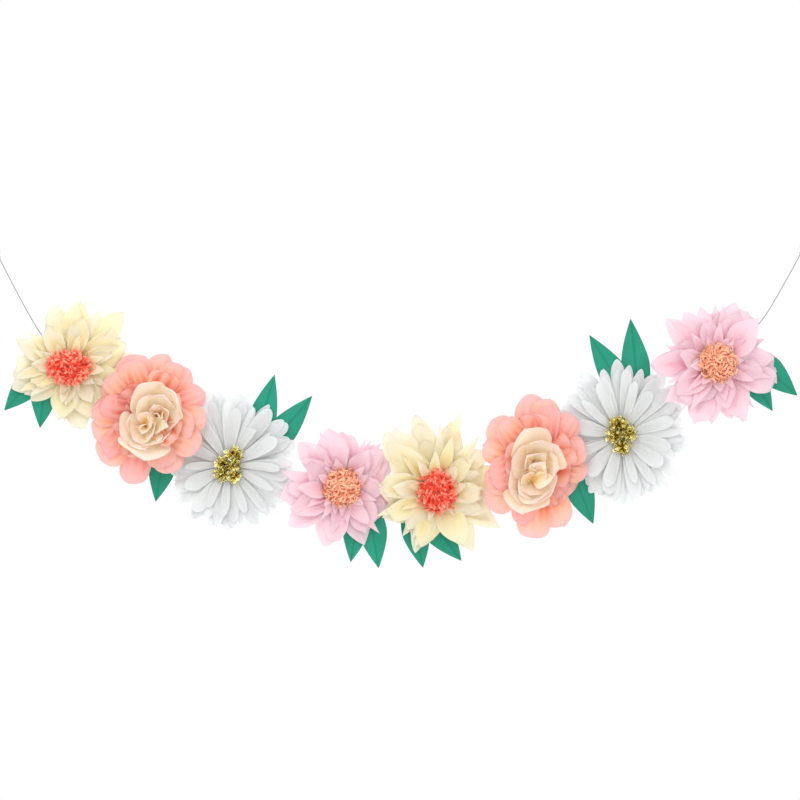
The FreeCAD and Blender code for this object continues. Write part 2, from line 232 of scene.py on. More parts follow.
def tissue(name, stops, fold, edge, blush, through=0.25):
    """Thin crinkled paper that lets light through.

    Its colour runs along a petal through the stops, from deeper, warmer colours at the root, which are
    painted shade and painted glow where the petals gather, to the paper's own colour further out. In the
    folds, gathers and creases it takes the fold colour, which is painted shade. It changes towards the
    edge to the paper's own edge tint (edge), and on some petals leans at random to another tone (blush).
    through is the share of light that passes through it.
    """
    finish = Finish(name)
    tone = finish.parts_of("tone")
    place = finish.attribute("place")
    cloud = finish.noise(finish.object_place(), 28.0, 2.0)
    along = finish.math("MULTIPLY_ADD", finish.math("SUBTRACT", cloud, 0.5), 0.35, tone["X"])
    # Painted shade and glow: the stops' deeper colours towards the root
    colour = finish.ramp(along, *stops)
    colour = finish.mix(finish.range(tone["Z"], 0.45, 1.0, 0.0, 0.75), colour, blush)
    colour = finish.mix(finish.range(tone["Y"], 0.0, -1.0, 0.0, 0.9), colour, edge)
    # Painted shade: the fold colour, wherever the tone's depth marks a fold, gather or crease
    depth = finish.math("MULTIPLY", finish.range(tone["Y"], 0.0, 1.0),
                        finish.range(cloud, 0.3, 0.65, 0.45, 1.0))
    colour = finish.mix(depth, colour, fold)
    streaks = finish.noise(finish.stretched(place, (420.0, 30.0, 9.0)), 1.0, 4.0, 0.6)
    fibres = finish.noise(finish.stretched(place, (1500.0, 1200.0, 9.0)), 1.0, 2.0, 0.6)
    shade = finish.range(finish.math("ADD", streaks, fibres), 0.6, 1.4, 0.94, 1.04)
    grey = finish.add("ShaderNodeCombineXYZ", {0: shade, 1: shade, 2: shade}).outputs["Vector"]
    colour = finish.mix(1.0, colour, grey, "MULTIPLY")
    crumple = finish.noise(finish.stretched(place, (130.0, 45.0, 9.0)), 1.0, 4.0, 0.55)
    relief = finish.math("ADD", finish.math("MULTIPLY", streaks, 0.5), crumple)
    normal = finish.bump(finish.math("MULTIPLY_ADD", fibres, 0.08, relief), 0.0013, 0.65)
    paper = finish.add("ShaderNodeBsdfPrincipled", {"Base Color": colour, "Normal": normal,
                                                    "Roughness": 0.8, "Specular IOR Level": 0.2})
    glow = finish.add("ShaderNodeBsdfTranslucent", {"Color": colour, "Normal": normal})
    both = finish.add("ShaderNodeMixShader", {0: through, 1: paper.outputs[0], 2: glow.outputs[0]})
    return finish.surface(both.outputs[0])


def foil(name):
    """Crumpled metallic film, with painted reflections, shade and highlights in its colour."""
    finish = Finish(name)
    tone = finish.parts_of("tone")
    place = finish.object_place()
    facets = finish.add("ShaderNodeTexVoronoi", {"Vector": place, "Scale": 260.0}, feature="F1")
    # Painted reflections and shade: the ramp runs from dark olive, standing for the foil mirroring its
    # neighbours' shade and darker towards the strips' roots, up to pale yellow painted highlights.
    shade = finish.math("MULTIPLY_ADD", finish.noise(place, 170.0, 3.0, 0.6), 0.7,
                        finish.math("MULTIPLY", tone["X"], 0.45))
    colour = finish.ramp(shade, (0.22, srgb(118, 86, 0)), (0.4, srgb(200, 166, 20)),
                         (0.56, srgb(240, 214, 80)), (0.74, srgb(255, 250, 196)))
    relief = finish.math("ADD", facets.outputs["Distance"], finish.noise(place, 700.0, 2.0, 0.5))
    metal = finish.add("ShaderNodeBsdfPrincipled",
                       {"Base Color": colour, "Normal": finish.bump(relief, 0.0015, 1.0),
                        "Metallic": 1.0, "Roughness": 0.2})
    return finish.surface(metal.outputs[0])


def card(name, light, dark, grain=900.0, crease=0.0):
    """Stiff coloured card with a fine paper grain, and painted shade darkening it within the crease
    distance of its fold.
    """
    finish = Finish(name)
    place = finish.object_place()
    cloud = finish.noise(place, 18.0, 3.0)
    fibres = finish.noise(place, grain, 4.0, 0.65)
    colour = finish.mix(finish.range(cloud, 0.35, 0.65, 0.0, 0.5), light, dark)
    colour = finish.mix(finish.range(fibres, 0.3, 0.7, 0.0, 0.16), colour, dark)
    # Painted shade: a dark line along the fold
    if crease:
        aside = finish.math("ABSOLUTE", finish.parts_of("place")["X"])
        colour = finish.mix(finish.range(aside, 0.0, crease, 0.9, 0.0), colour, dark)
    board = finish.add("ShaderNodeBsdfPrincipled",
                       {"Base Color": colour, "Normal": finish.bump(fibres, 0.0002, 0.5),
                        "Roughness": 0.62, "Specular IOR Level": 0.35})
    return finish.surface(board.outputs[0])


def cotton(name):
    """Twisted cotton thread."""
    finish = Finish(name)
    place = finish.object_place()
    fibres = finish.noise(place, 2600.0, 3.0, 0.6)
    colour = finish.mix(finish.range(fibres, 0.3, 0.7), srgb(138, 137, 132), srgb(170, 168, 162))
    thread = finish.add("ShaderNodeBsdfPrincipled",
                        {"Base Color": colour, "Normal": finish.bump(fibres, 0.0002, 0.6),
                         "Roughness": 0.9})
    return finish.surface(thread.outputs[0])


# In each tissue, the first stops and the fold colour are painted shade and glow: the deeper, warmer
# colours at the roots of petals and strips and in their folds stand for shade and for light through the
# gathered layers. The edge and blush colours are the papers' own tints.
CREAM_TISSUE = tissue(
    "cream_tissue",
    [(0.1, srgb(254, 220, 144)), (0.3, srgb(252, 234, 180)), (0.55, srgb(246, 236, 203)),
     (0.95, srgb(242, 235, 214))],
    fold=srgb(254, 216, 100), edge=srgb(240, 235, 217), blush=srgb(250, 239, 182),
)
PINK_TISSUE = tissue(
    "pink_tissue",
    [(0.1, srgb(254, 170, 194)), (0.32, srgb(254, 207, 219)), (0.6, srgb(250, 214, 224)),
     (0.95, srgb(244, 217, 227))],
    fold=srgb(251, 156, 186), edge=srgb(243, 218, 228), blush=srgb(242, 211, 222),
)
WHITE_TISSUE = tissue(
    "white_tissue",
    [(0.05, srgb(230, 229, 224)), (0.3, srgb(231, 232, 230)), (0.95, srgb(231, 233, 233))],
    fold=srgb(214, 216, 215), edge=srgb(234, 237, 238), blush=srgb(226, 229, 229),
)
CORAL_TISSUE = tissue(
    "coral_tissue",
    [(0.1, srgb(250, 108, 74)), (0.34, srgb(253, 150, 110)), (0.6, srgb(253, 182, 150)),
     (0.95, srgb(252, 203, 180))],
    fold=srgb(250, 106, 74), edge=srgb(249, 188, 192), blush=srgb(250, 176, 176),
)
BUD_TISSUE = tissue(
    "bud_tissue",
    [(0.1, srgb(255, 224, 156)), (0.35, srgb(254, 240, 204)), (0.95, srgb(252, 243, 224))],
    fold=srgb(254, 214, 136), edge=srgb(253, 228, 222), blush=srgb(254, 224, 206),
)
CORAL_FRINGE = tissue(
    "coral_fringe",
    [(0.15, srgb(255, 70, 50)), (0.45, srgb(255, 122, 94)), (0.75, srgb(255, 152, 124)),
     (0.98, srgb(255, 184, 160))],
    fold=srgb(255, 56, 38), edge=srgb(255, 184, 160), blush=srgb(255, 168, 142), through=0.15,
)
ORANGE_FRINGE = tissue(
    "orange_fringe",
    [(0.15, srgb(255, 148, 102)), (0.5, srgb(255, 180, 142)), (0.95, srgb(255, 202, 168))],
    fold=srgb(255, 134, 90), edge=srgb(255, 206, 172), blush=srgb(255, 200, 166), through=0.15,
)
GOLD_FOIL = foil("gold_foil")
# The leaves' dark line along their fold is painted shade.
GREEN_CARD = card("green_card", srgb(28, 151, 123), srgb(6, 124, 97), crease=3.5 * MM)
BACKING_CARD = card("backing_card", srgb(236, 232, 222), srgb(222, 216, 204))
TAB_PAPER = card("tab_paper", srgb(240, 238, 232), srgb(226, 223, 214), grain=1400.0)
COTTON_STRING = cotton("cotton_string")

# ---------------- string

STRING_D = 2 * MM
STRANDS = 3
STRAND_SIDES = 6
STRAND_STEP = 0.9 * MM
LAY_LENGTH = 7 * MM  # along the string for one turn of its strands
LOOP_HALF_WIDTH = 8.5 * MM
LOOP_RISE = 10.5 * MM
KNOT_LENGTH = 6.5 * MM
KNOT_TURNS = 3
KNOT_R = 1.9 * MM  # of its turns round the string
KNOT_SWELL = 0.2 * MM  # added to that at its middle
KNOT_MARGIN = 1 * MM  # left bare at each of its ends

# The loops' centres, and the points that the string's route follows from one to the other: (x, z)
LEFT_LOOP = (0.0, 0.0)
RIGHT_LOOP = (1.533, 0.0075)
ROUTE = [
    (0.031, -0.061), (0.056, -0.108), (0.083, -0.155), (0.112, -0.192), (0.143, -0.222),
    (0.192, -0.254), (0.241, -0.285), (0.291, -0.314),
    (0.341, -0.346), (0.391, -0.377), (0.442, -0.406),
    (0.495, -0.422), (0.549, -0.435), (0.603, -0.4435), (0.657, -0.448),
    (0.717, -0.452), (0.776, -0.4545), (0.836, -0.455),
    (0.884, -0.449), (0.932, -0.439), (0.980, -0.426), (1.028, -0.409),
    (1.080, -0.393), (1.132, -0.375), (1.185, -0.354),
    (1.231, -0.327), (1.276, -0.294), (1.320, -0.257), (1.364, -0.217),
    (1.400, -0.184), (1.436, -0.152), (1.463, -0.118), (1.487, -0.076), (1.510, -0.035),
]


def in_plane(point):
    """The place of (x, z) in the string's plane."""
    return np.array([point[0], 0.0, point[1]])


def spline_line(points, name):
    """Points along the smooth curve that these points steer."""
    curve = bpy.data.curves.new(name, "CURVE")
    curve.dimensions = "3D"
    spline = curve.splines.new("NURBS")
    spline.points.add(len(points) - 1)
    for control, point in zip(spline.points, points):
        control.co = (*point, 1.0)
    spline.order_u = 3
    spline.use_endpoint_u = True
    spline.resolution_u = 16
    holder = bpy.data.objects.new(name, curve)
    mesh = bpy.data.meshes.new_from_object(holder)
    line = np.array([vertex.co for vertex in mesh.vertices])
    bpy.data.objects.remove(holder)
    bpy.data.meshes.remove(mesh)
    return line


def evenly(line, step):
    """The line again in steps of one length, and how far along it each point is."""
    travelled = np.concatenate([[0], np.cumsum(np.linalg.norm(np.diff(line, axis=0), axis=1))])
    at = np.linspace(0, travelled[-1], max(4, round(travelled[-1] / step)))
    return np.stack([np.interp(at, travelled, line[:, i]) for i in range(3)], axis=1), at


def twisted(sheets, line):
    """Twisted strands that follow the line."""
    line, at = evenly(line, STRAND_STEP)
    tangent = np.gradient(line, axis=0)
    tangent /= np.linalg.norm(tangent, axis=1)[:, None]
    upright = np.array([0.0, 1.0, 0.0]) - tangent * tangent[:, 1:2]
    first = upright / np.maximum(np.linalg.norm(upright, axis=1), 1e-6)[:, None]
    second = np.cross(tangent, first)
    strand_r = STRING_D / 4
    for strand in range(STRANDS):
        turn = 2 * math.pi * (at / LAY_LENGTH + strand / STRANDS)
        middle = line + strand_r * (first * np.cos(turn)[:, None] + second * np.sin(turn)[:, None])
        around = np.linspace(0, 2 * math.pi, STRAND_SIDES, endpoint=False)
        radius = np.full(len(line), strand_r)
        radius[[0, -1]] = 0.02 * strand_r
        ring = middle[:, None] + radius[:, None, None] * (
            first[:, None] * np.cos(around)[None, :, None]
            + second[:, None] * np.sin(around)[None, :, None])
        sheets.add(ring, closed=True)


def down_the_tail(loop, neighbour):
    """The direction from a loop towards the route's nearest point."""
    tail = in_plane(neighbour) - in_plane(loop)
    return tail / np.linalg.norm(tail)


def hanging_loop(side, loop, neighbour):
    """The string's end turned back into an open loop, with a wrapped knot below it."""
    down = down_the_tail(loop, neighbour)
    across = np.array([down[2], 0, -down[0]])
    centre = in_plane(loop)
    strand = 0.55 * STRING_D
    shares = [(-strand, -LOOP_RISE - KNOT_LENGTH), (-strand, -LOOP_RISE),
              (-0.85 * LOOP_HALF_WIDTH, -0.42 * LOOP_RISE),
              (-1.05 * LOOP_HALF_WIDTH, 0.5 * LOOP_RISE), (0, 1.05 * LOOP_RISE)]
    mirrored = [(-sideways, rise) for sideways, rise in reversed(shares[:-1])]
    points = [centre + across * sideways - down * rise for sideways, rise in shares + mirrored]
    sheets = Sheets()
    twisted(sheets, spline_line(points, side + "_ring"))
    turn = np.linspace(0, 2 * math.pi * KNOT_TURNS, 60)[:, None]
    around = across * np.cos(turn) + np.array([0, 1.0, 0]) * np.sin(turn)
    share = turn / turn[-1]
    along = down * (LOOP_RISE + KNOT_MARGIN + (KNOT_LENGTH - 2 * KNOT_MARGIN) * share)
    swell = KNOT_R + KNOT_SWELL * np.sin(math.pi * share)
    twisted(sheets, centre + along + around * swell)
    return sheets.piece(side + "_loop_and_knot", COTTON_STRING, side + "_hanging_loop")


left_end = in_plane(LEFT_LOOP) + down_the_tail(LEFT_LOOP, ROUTE[0]) * (LOOP_RISE + KNOT_LENGTH)
right_end = in_plane(RIGHT_LOOP) + down_the_tail(RIGHT_LOOP, ROUTE[-1]) * (LOOP_RISE + KNOT_LENGTH)
route = [left_end] + [in_plane(point) for point in ROUTE] + [right_end]
string_line = spline_line(route, "string_route")
string_sheets = Sheets()
twisted(string_sheets, string_line)
string = string_sheets.piece("garland_string", COTTON_STRING, "string")
loops = [hanging_loop("left", LEFT_LOOP, ROUTE[0]), hanging_loop("right", RIGHT_LOOP, ROUTE[-1])]

# ---------------- petals

ROOT_R = 6 * MM  # where the petals leave the gathered middle
CROWDING = 1.15  # the widest a petal may be, as a share of its part of the circle
ROOT_RISE = 1.5 * MM  # of the petals' roots from the back of the CAD sheet
PLY_GAP = 0.5 * MM
PLY_TILT = 2.0  # degrees from one ply to the next
PETAL_SAG = 1.2 * MM  # how far behind its root a petal may dip
LEAF_FRONT = 5.2 * MM  # the height that the petals keep above, to clear the leaves
FLOOR_EASE = 1.0 * MM  # how gently they come down to it
TIP_FOLD = 1.4  # radians that a turned tip is folded back
CRUMPLE = 1.1 * MM  # height of the soft waves all over a petal
WAVES = (0.045, 0.028, 0.018)  # and their lengths
CREASES = 3  # long ones in each petal
SHARP_FOLD = 0.004  # how round a petal's middle fold is, 0 for a knife edge

# How a petal is cut and bent. peak: where it is widest, as a share of its length. sharp, blunt: the
# curve of its end. arch: how much it bends back from root to tip, in radians, least and most. cup:
# half the angle that it curls round across, least and most. fold: the most that it is creased along
# its middle, in radians. pleat: depth of the gathers as a share of the half width, how far out they
# reach and how many. creases: depth of the long creases. ruffle: waves of its edges. turned: share of
# the petals whose tip is folded back. fan: how far the second ply is turned, as a share of the
# petals' spacing. swerve: how far the tip may stray sideways. wander: how far its heading and tilt
# stray, in degrees, and its length and width, as shares of them.
BROAD = dict(rows=36, columns=27, peak=0.52, sharp=1.5, blunt=1.0, arch=(-0.1, 0.5), cup=(-0.6, 0.3),
             fold=0.5, pleat=(0.25, 0.3, 3), creases=1.8 * MM, ruffle=5.0 * MM, turned=0.18, fan=0.45,
             swerve=16 * MM, wander=(15.0, 7.0, 0.14, 0.28))
DART = dict(rows=30, columns=19, peak=0.42, sharp=1.4, blunt=1.05, arch=(0.0, 0.6), cup=(-0.5, 0.3),
            fold=0.8, pleat=(0.3, 0.5, 2), creases=1.2 * MM, ruffle=2.5 * MM, turned=0.0, fan=0.45,
            swerve=12 * MM, wander=(18.0, 7.0, 0.2, 0.35))
STRAP = dict(rows=30, columns=15, peak=0.78, sharp=2.0, blunt=0.7, arch=(0.0, 0.25), cup=(-0.6, 0.1),
             fold=0.35, pleat=(0.2, 0.6, 2), creases=0.8 * MM, ruffle=1.6 * MM, turned=0.03, fan=0.34,
             swerve=6 * MM, wander=(7.0, 1.5, 0.08, 0.4))
LOBE = dict(rows=36, columns=31, peak=0.68, sharp=2.6, blunt=0.45, arch=(0.7, 1.4), cup=(-1.1, -0.4),
            fold=0.0, pleat=(0.5, 0.65, 2), creases=3.0 * MM, ruffle=3.0 * MM, turned=0.0, fan=0.5,
            swerve=6 * MM, wander=(7.0, 6.0, 0.05, 0.12))
FAN = dict(rows=34, columns=35, peak=0.78, sharp=2.2, blunt=0.5, arch=(-0.2, 0.9), cup=(-0.5, 0.4),
           fold=0.5, pleat=(0.35, 3.0, 1.1), creases=2.5 * MM, ruffle=4.0 * MM, turned=0.0, fan=0.5,
           swerve=10 * MM, wander=(16.0, 10.0, 0.12, 0.25))
CUP = dict(rows=36, columns=33, peak=0.48, sharp=2.2, blunt=0.55, arch=(-0.8, -0.5), cup=(0.4, 0.7),
           fold=0.1, pleat=(0.25, 0.3, 4), creases=2.0 * MM, ruffle=3.5 * MM, turned=0.0, fan=0.0,
           swerve=3 * MM, wander=(4.0, 3.0, 0.04, 0.06))
CURLED = dict(rows=28, columns=23, peak=0.55, sharp=1.7, blunt=0.85, arch=(-0.8, 0.2), cup=(0.5, 1.1),
              fold=0.9, pleat=(0.2, 0.3, 2), creases=1.2 * MM, ruffle=3.0 * MM, turned=0.0, fan=0.0,
              swerve=6 * MM, wander=(10.0, 8.0, 0.1, 0.15))
SPIKE = dict(rows=28, columns=13, peak=0.45, sharp=1.3, blunt=1.1, arch=(-0.2, 0.5), cup=(-0.7, 0.7),
             fold=0.9, pleat=(0.3, 0.5, 2), creases=1.0 * MM, ruffle=2.0 * MM, turned=0.0, fan=0.0,
             swerve=8 * MM, wander=(10.0, 5.0, 0.12, 0.3))

# The spikes are narrow petals that stand between the broad ones.
SPIKE_WIDTH = 27 * MM
SPIKE_SHARE = 0.94  # of the broad petals' reach
SPIKE_LIFT = 1.0  # degrees of tilt more than theirs

# Each sheet: (name, plies, petals of each, width, tilt in degrees, cut)
CREAM_SHEETS = [
    ("outer_petals", 1, 9, 74 * MM, 4.0, BROAD), ("second_petals", 2, 6, 62 * MM, 8.0, BROAD),
    ("third_petals", 1, 8, 48 * MM, 12.0, BROAD), ("inner_petals", 1, 9, 24 * MM, 24.0, DART),
]
PINK_SHEETS = [
    ("outer_petals", 1, 9, 66 * MM, 4.0, BROAD), ("second_petals", 2, 6, 58 * MM, 9.0, BROAD),
    ("third_petals", 1, 7, 46 * MM, 14.0, BROAD), ("inner_petals", 1, 9, 25 * MM, 26.0, DART),
]
DAISY_SHEETS = [
    ("outer_petals", 3, 13, 25 * MM, 4.0, STRAP), ("middle_petals", 3, 13, 24 * MM, 6.0, STRAP),
    ("inner_petals", 1, 12, 24 * MM, 8.0, STRAP),
]
PEONY_SHEETS = [
    ("outer_petals", 2, 6, 66 * MM, 8.0, LOBE), ("second_petals", 2, 3, 60 * MM, 18.0, LOBE),
    ("third_petals", 2, 3, 66 * MM, 22.0, FAN), ("inner_petals", 1, 6, 58 * MM, 26.0, FAN),
]

# Each flower: (name, sheets, tissue, turn in degrees, reaches). The reaches are how far its outer
# petals go to the right, up, to the left and down, in mm.
FLOWERS = [
    ("cream_dahlia_left", CREAM_SHEETS, CREAM_TISSUE, 4.0, (142, 134, 114, 118)),
    ("peony_left", PEONY_SHEETS, CORAL_TISSUE, 20.0, (128, 130, 114, 139)),
    ("daisy_left", DAISY_SHEETS, WHITE_TISSUE, 7.0, (128, 142, 112, 126)),
    ("pink_dahlia_left", PINK_SHEETS, PINK_TISSUE, 15.0, (116, 116, 130, 114)),
    ("cream_dahlia_right", CREAM_SHEETS, CREAM_TISSUE, 22.0, (128, 160, 134, 124)),
    ("peony_right", PEONY_SHEETS, CORAL_TISSUE, 48.0, (106, 134, 120, 154)),
    ("daisy_right", DAISY_SHEETS, WHITE_TISSUE, 0.0, (126, 140, 124, 130)),
    ("pink_dahlia_right", PINK_SHEETS, PINK_TISSUE, 11.0, (122, 122, 134, 126)),
]
MIDDLES = {"cream": "fringed_centre", "pink": "fringed_centre", "daisy": "foil_centre",
           "peony": "cupped_bud"}
SAME_FACE = 0.1 * MM  # how level the corners of one flat face are

# How long the CAD model's outer petals are, for each kind of flower. A shorter CAD sheet gets petals
# that are shorter by the same share.
FLAT_REACH = {"cream": 120 * MM, "pink": 120 * MM, "daisy": 134 * MM, "peony": 112 * MM}

# Where a leaf shows between a flower's petals: its heading, and how far they keep away, in degrees
PARTINGS = {0: 236.0, 4: 281.0}
PARTING = 27.0

# Where one shows past a flower's shortened petals: its heading, and the share that they lose
DIPS = {5: (316.0, 0.3)}
DIP_SPREAD = 22.0

# Where two flowers meet, the petals of one lie on the other's: (underneath, on top)
LAPS = [(0, 1), (2, 1), (2, 3), (3, 4), (4, 5), (6, 5), (6, 7)]
LIFT = 20.0  # degrees that the upper petals rise
PRESS = 1.0  # tilt in degrees of the outer petals underneath


def corners(node):
    """The corners of a CAD node, at rest."""
    return np.array([vertex.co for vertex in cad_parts[node].data.vertices])


def axis_of(flower_name):
    """The flower's axis in the XZ plane: the middle of the back face of its middle's core."""
    points = corners(flower_name + "_" + MIDDLES[flower_name.split("_")[0]])
    back = points[points[:, 1] > points[:, 1].max() - SAME_FACE]
    return np.array([(back[:, i].max() + back[:, i].min()) / 2 for i in (0, 2)])


CENTRES = [axis_of(flower[0]) for flower in FLOWERS]


def lean_at(flower, tilt, angle):
    """Degrees that a sheet rises at this angle, where the flower laps over or under a neighbour."""
    outer_sheet = FLOWERS[flower][1][0]
    outer_tilt = outer_sheet[4]
    lean = 0.0
    for under, over in LAPS:
        if flower in (under, over):
            away = CENTRES[over if flower == under else under] - CENTRES[flower]
            towards = math.atan2(away[1], away[0])
            facing = max(0.0, math.cos(angle - towards)) ** 2
            lean += facing * (PRESS - outer_tilt if flower == under else LIFT)
    return tilt + lean * (90 - tilt) / (90 - outer_tilt)


def reach_at(flower, angle):
    """How far the flower's outer petals reach at this angle, in metres."""
    right, up, left, down = FLOWERS[flower][4]
    level, upright = math.cos(angle), math.sin(angle)
    reach = (right if level > 0 else left) * level ** 2 + (up if upright > 0 else down) * upright ** 2
    if flower in DIPS:
        heading, share = DIPS[flower]
        aside = (math.degrees(angle) - heading + 180) % 360 - 180
        reach *= 1 - share * math.exp(-(aside / DIP_SPREAD) ** 2)
    return reach * MM


def parted(flower, heading):
    """A petal's heading in degrees, turned aside where a leaf shows between the flower's petals."""
    if flower not in PARTINGS:
        return heading
    aside = (heading - PARTINGS[flower] + 180) % 360 - 180
    return heading + math.copysign(max(0.0, PARTING - abs(aside)), aside)


def outline(s, cut, rng):
    """Half width of a petal along its length, at most 1.

    Here and below, s goes from 0 at a petal's root to 1 at its tip, and t from -1 to 1 across it.
    """
    peak = cut["peak"] + rng.uniform(-0.05, 0.05)
    rise = np.sin(math.pi / 2 * np.clip(s / peak, 0, 1))
    past = np.clip((s - peak) / (1 - peak), 0, 1)
    sharp = cut["sharp"] * rng.uniform(0.9, 1.3)
    blunt = cut["blunt"] * rng.uniform(0.65, 1.1)
    fall = (1 - past ** sharp) ** blunt
    return np.where(s < peak, 0.2 + 0.8 * rise, fall)


def wrinkles(rng, s, t, length, half):
    """Soft uneven waves over the flat sheet, from -1 to 1, the longest of them the highest."""
    waves = 0.0
    for wave in WAVES:
        direction, phase = rng.uniform(0, 2 * math.pi, 2)
        travel = s * length * math.cos(direction) + t * half * math.sin(direction)
        waves = waves + np.sin(2 * math.pi * travel / wave + phase) * wave / (2 * WAVES[0])
    return waves


def long_creases(rng, s, t):
    """Narrow grooves that fan out from the root, from -1 to 1."""
    relief = 0.0
    for at, depth, reach in zip(rng.uniform(-0.8, 0.8, CREASES), rng.uniform(-1, 1, CREASES),
                                rng.uniform(0.5, 1.0, CREASES)):
        relief = relief + depth * np.exp(-np.abs(t - at) / 0.16) * np.exp(-(s / reach) ** 4)
    return relief


def petal(sheets, centre, base, angle, length, width, tilt, count, cut, rng, root=ROOT_R):
    """One tissue petal, from the gathered middle to its tip.

    base is its root's height, angle and tilt are in degrees, and count is how many share the circle.
    """
    rows, columns = cut["rows"], cut["columns"]
    heading_stray, tilt_stray, length_stray, width_stray = cut["wander"]
    angle = math.radians(angle + heading_stray * rng.uniform(-1, 1))
    tilt = math.radians(max(tilt + tilt_stray * rng.uniform(-0.6, 1), 0.0))
    length *= 1 + length_stray * rng.uniform(-1, 0.6)
    widest = width / 2 * (1 + width_stray * rng.uniform(-1, 1))
    s = towards_tip(rows, 1.45)
    t = np.linspace(-1, 1, columns)[None, :]

    # Lengthwise: bent from root to tip, and as wide as its outline and its neighbours let it be
    slope = tilt + rng.uniform(*cut["arch"]) * (0.4 - s)
    if rng.uniform() < cut["turned"]:
        slope = slope - TIP_FOLD * np.clip((s - rng.uniform(0.8, 0.92)) / 0.04, 0, 1)
    step = np.diff(s, axis=0, prepend=0) * length
    radial = root + np.cumsum(np.cos(slope) * step, axis=0)
    height = base + np.cumsum(np.sin(slope) * step, axis=0)
    room = CROWDING * math.pi * np.maximum(radial, ROOT_R) / count
    half = (room ** -4 + np.maximum(widest * outline(s, cut, rng), 1e-5) ** -4) ** -0.25

    # Across: curled round, creased along the middle, gathered near the root, waved at the edges
    curl = rng.uniform(*cut["cup"]) * (0.25 + 0.75 * s)
    curl = np.where(np.abs(curl) < 0.02, 0.02, curl)
    across = half * np.sin(curl * t) / curl
    proud = half * (1 - np.cos(curl * t)) / curl
    crease = cut["fold"] * rng.uniform(0, 1) ** 2 * np.sin(math.pi * np.clip(s, 0, 1) ** 0.6)
    at = 0.35 * rng.uniform(-1, 1)
    ridge = np.sqrt((t - at) ** 2 + SHARP_FOLD)
    proud = proud * np.cos(crease) + ridge * half * np.sin(crease)
    across = across * np.cos(crease)
    depth, reach, gathers = cut["pleat"]
    fade = np.exp(-(s / reach) ** 2)
    phase = (gathers + 0.4 * rng.uniform(-1, 1)) * t + rng.uniform()
    saw = np.abs((phase % 1.0) * 2 - 1)
    proud = proud + (0.5 - saw) * depth * half * fade
    waves, unlike, start = rng.uniform(0.9, 1.6), rng.uniform(), rng.uniform()
    edge = np.sin(2 * math.pi * (waves * s + 0.25 * np.sign(t) * unlike + start))
    proud = proud + cut["ruffle"] * edge * np.abs(t) ** 3 * s
    proud = proud + CRUMPLE * wrinkles(rng, s, t, length, half) * np.clip(s * 3, 0, 1)
    grooves = long_creases(rng, s, t)
    proud = proud + cut["creases"] * grooves * np.clip(s * 4, 0, 1) * np.clip((1 - s) * 6, 0, 1)

    # In space: twisted and swerved a little, and kept in front of the leaves
    roll = math.radians(rng.uniform(-10, 10)) + math.radians(18 * rng.uniform(-1, 1)) * s
    swerve = cut["swerve"] * rng.uniform(-1, 1)
    sideways = across * np.cos(roll) - proud * np.sin(roll) + swerve * s ** 2
    normal = proud * np.cos(roll) + across * np.sin(roll)
    out = np.array([math.cos(angle), 0, math.sin(angle)])
    beside = np.array([-math.sin(angle), 0, math.cos(angle)])
    forward = np.array([0, -1.0, 0])
    distance = radial - normal * np.sin(slope)
    floor = max(base - PETAL_SAG, LEAF_FRONT)
    above = height + normal * np.cos(slope) - floor
    rise = floor + FLOOR_EASE * np.logaddexp(0, above / FLOOR_EASE)
    points = (np.array([centre[0], 0, centre[1]]) + distance[..., None] * out
              + sideways[..., None] * beside + rise[..., None] * forward)
    # The valley is the mask of painted shade: the gathers, the middle fold and the grooves take the fold
    # colour. Below nothing towards the edges, it brings in the paper's own edge tint.
    valley = np.clip(saw * fade + 0.8 * (1 - np.abs(t - at)) ** 3 * np.sin(crease)
                     + 0.6 * np.clip(-grooves, 0, 1) - np.maximum(np.abs(t), s) ** 6, -1, 1)
    shade = rng.uniform(0, 1)
    sheets.add(points, stacked(s, valley, shade), stacked(t * half, s * length, shade * 40 + angle))


def petal_sheet(flower, number):
    """One CAD sheet of petals, as the plies of tissue that it is made of."""
    name, kind, material, turn = FLOWERS[flower][:4]
    label, plies, count, width, tilt, cut = kind[number]
    node = name + "_" + label
    points = corners(node)
    centre = CENTRES[flower]
    radius = np.hypot(points[:, 0] - centre[0], points[:, 2] - centre[1]).max()
    share = radius / FLAT_REACH[name.split("_")[0]]
    base = -points[:, 1].max() + ROOT_RISE
    rng = np.random.default_rng(100 * flower + number)
    sheets = Sheets()
    for ply in range(plies):
        for i in range(count):
            angle = turn + 360.0 * (i + cut["fan"] * ply + 0.5 * number * (1 - cut["fan"])) / count
            angle = parted(flower, angle)
            lean = lean_at(flower, tilt, math.radians(angle)) - PLY_TILT * (plies - 1 - ply)
            reach = reach_at(flower, math.radians(angle)) * share - ROOT_R
            length = reach / math.cos(math.radians(tilt))
            petal(sheets, centre, base + ply * PLY_GAP, angle, length, width, lean, count, cut, rng)
    if cut is BROAD:
        front = base + plies * PLY_GAP
        for i in range(count):
            angle = parted(flower, turn + 360.0 * (i + rng.uniform()) / count)
            lean = lean_at(flower, tilt, math.radians(angle)) + SPIKE_LIFT
            length = SPIKE_SHARE * reach_at(flower, math.radians(angle)) * share - ROOT_R
            petal(sheets, centre, front, angle, length, SPIKE_WIDTH, lean, count, SPIKE, rng)
    sheets.piece(node + "_paper", material, node)


# ---------------- middles

